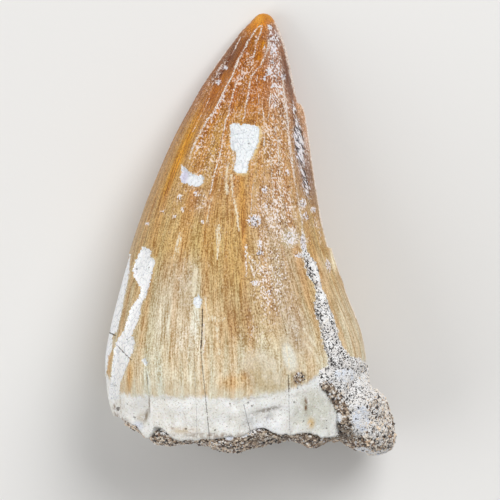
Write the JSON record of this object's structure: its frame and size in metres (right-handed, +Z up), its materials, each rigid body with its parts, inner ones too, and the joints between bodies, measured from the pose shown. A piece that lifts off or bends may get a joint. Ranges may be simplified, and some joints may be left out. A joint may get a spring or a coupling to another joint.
{
  "type": "fossil tooth",
  "caption": "Fossil marine reptile tooth, a stout curved cone lying on its side, with sandy rock stuck to its broken base and in a crack.",
  "frame": {"origin": "middle of the bounding box's underside, on the surface that the tooth lies on", "axes": "+Y from the broken base towards the tip, +Z up out of the tooth's better face, +X towards the rock-filled corner"},
  "size_m": [0.0276, 0.042, 0.017],
  "materials": {
    "tooth": "satin fossil enamel",
    "matrix": "rough sandy phosphate rock"
  },
  "bodies": {
    "root": {"tooth": "tooth", "matrix": "matrix"}
  },
  "joints": []
}
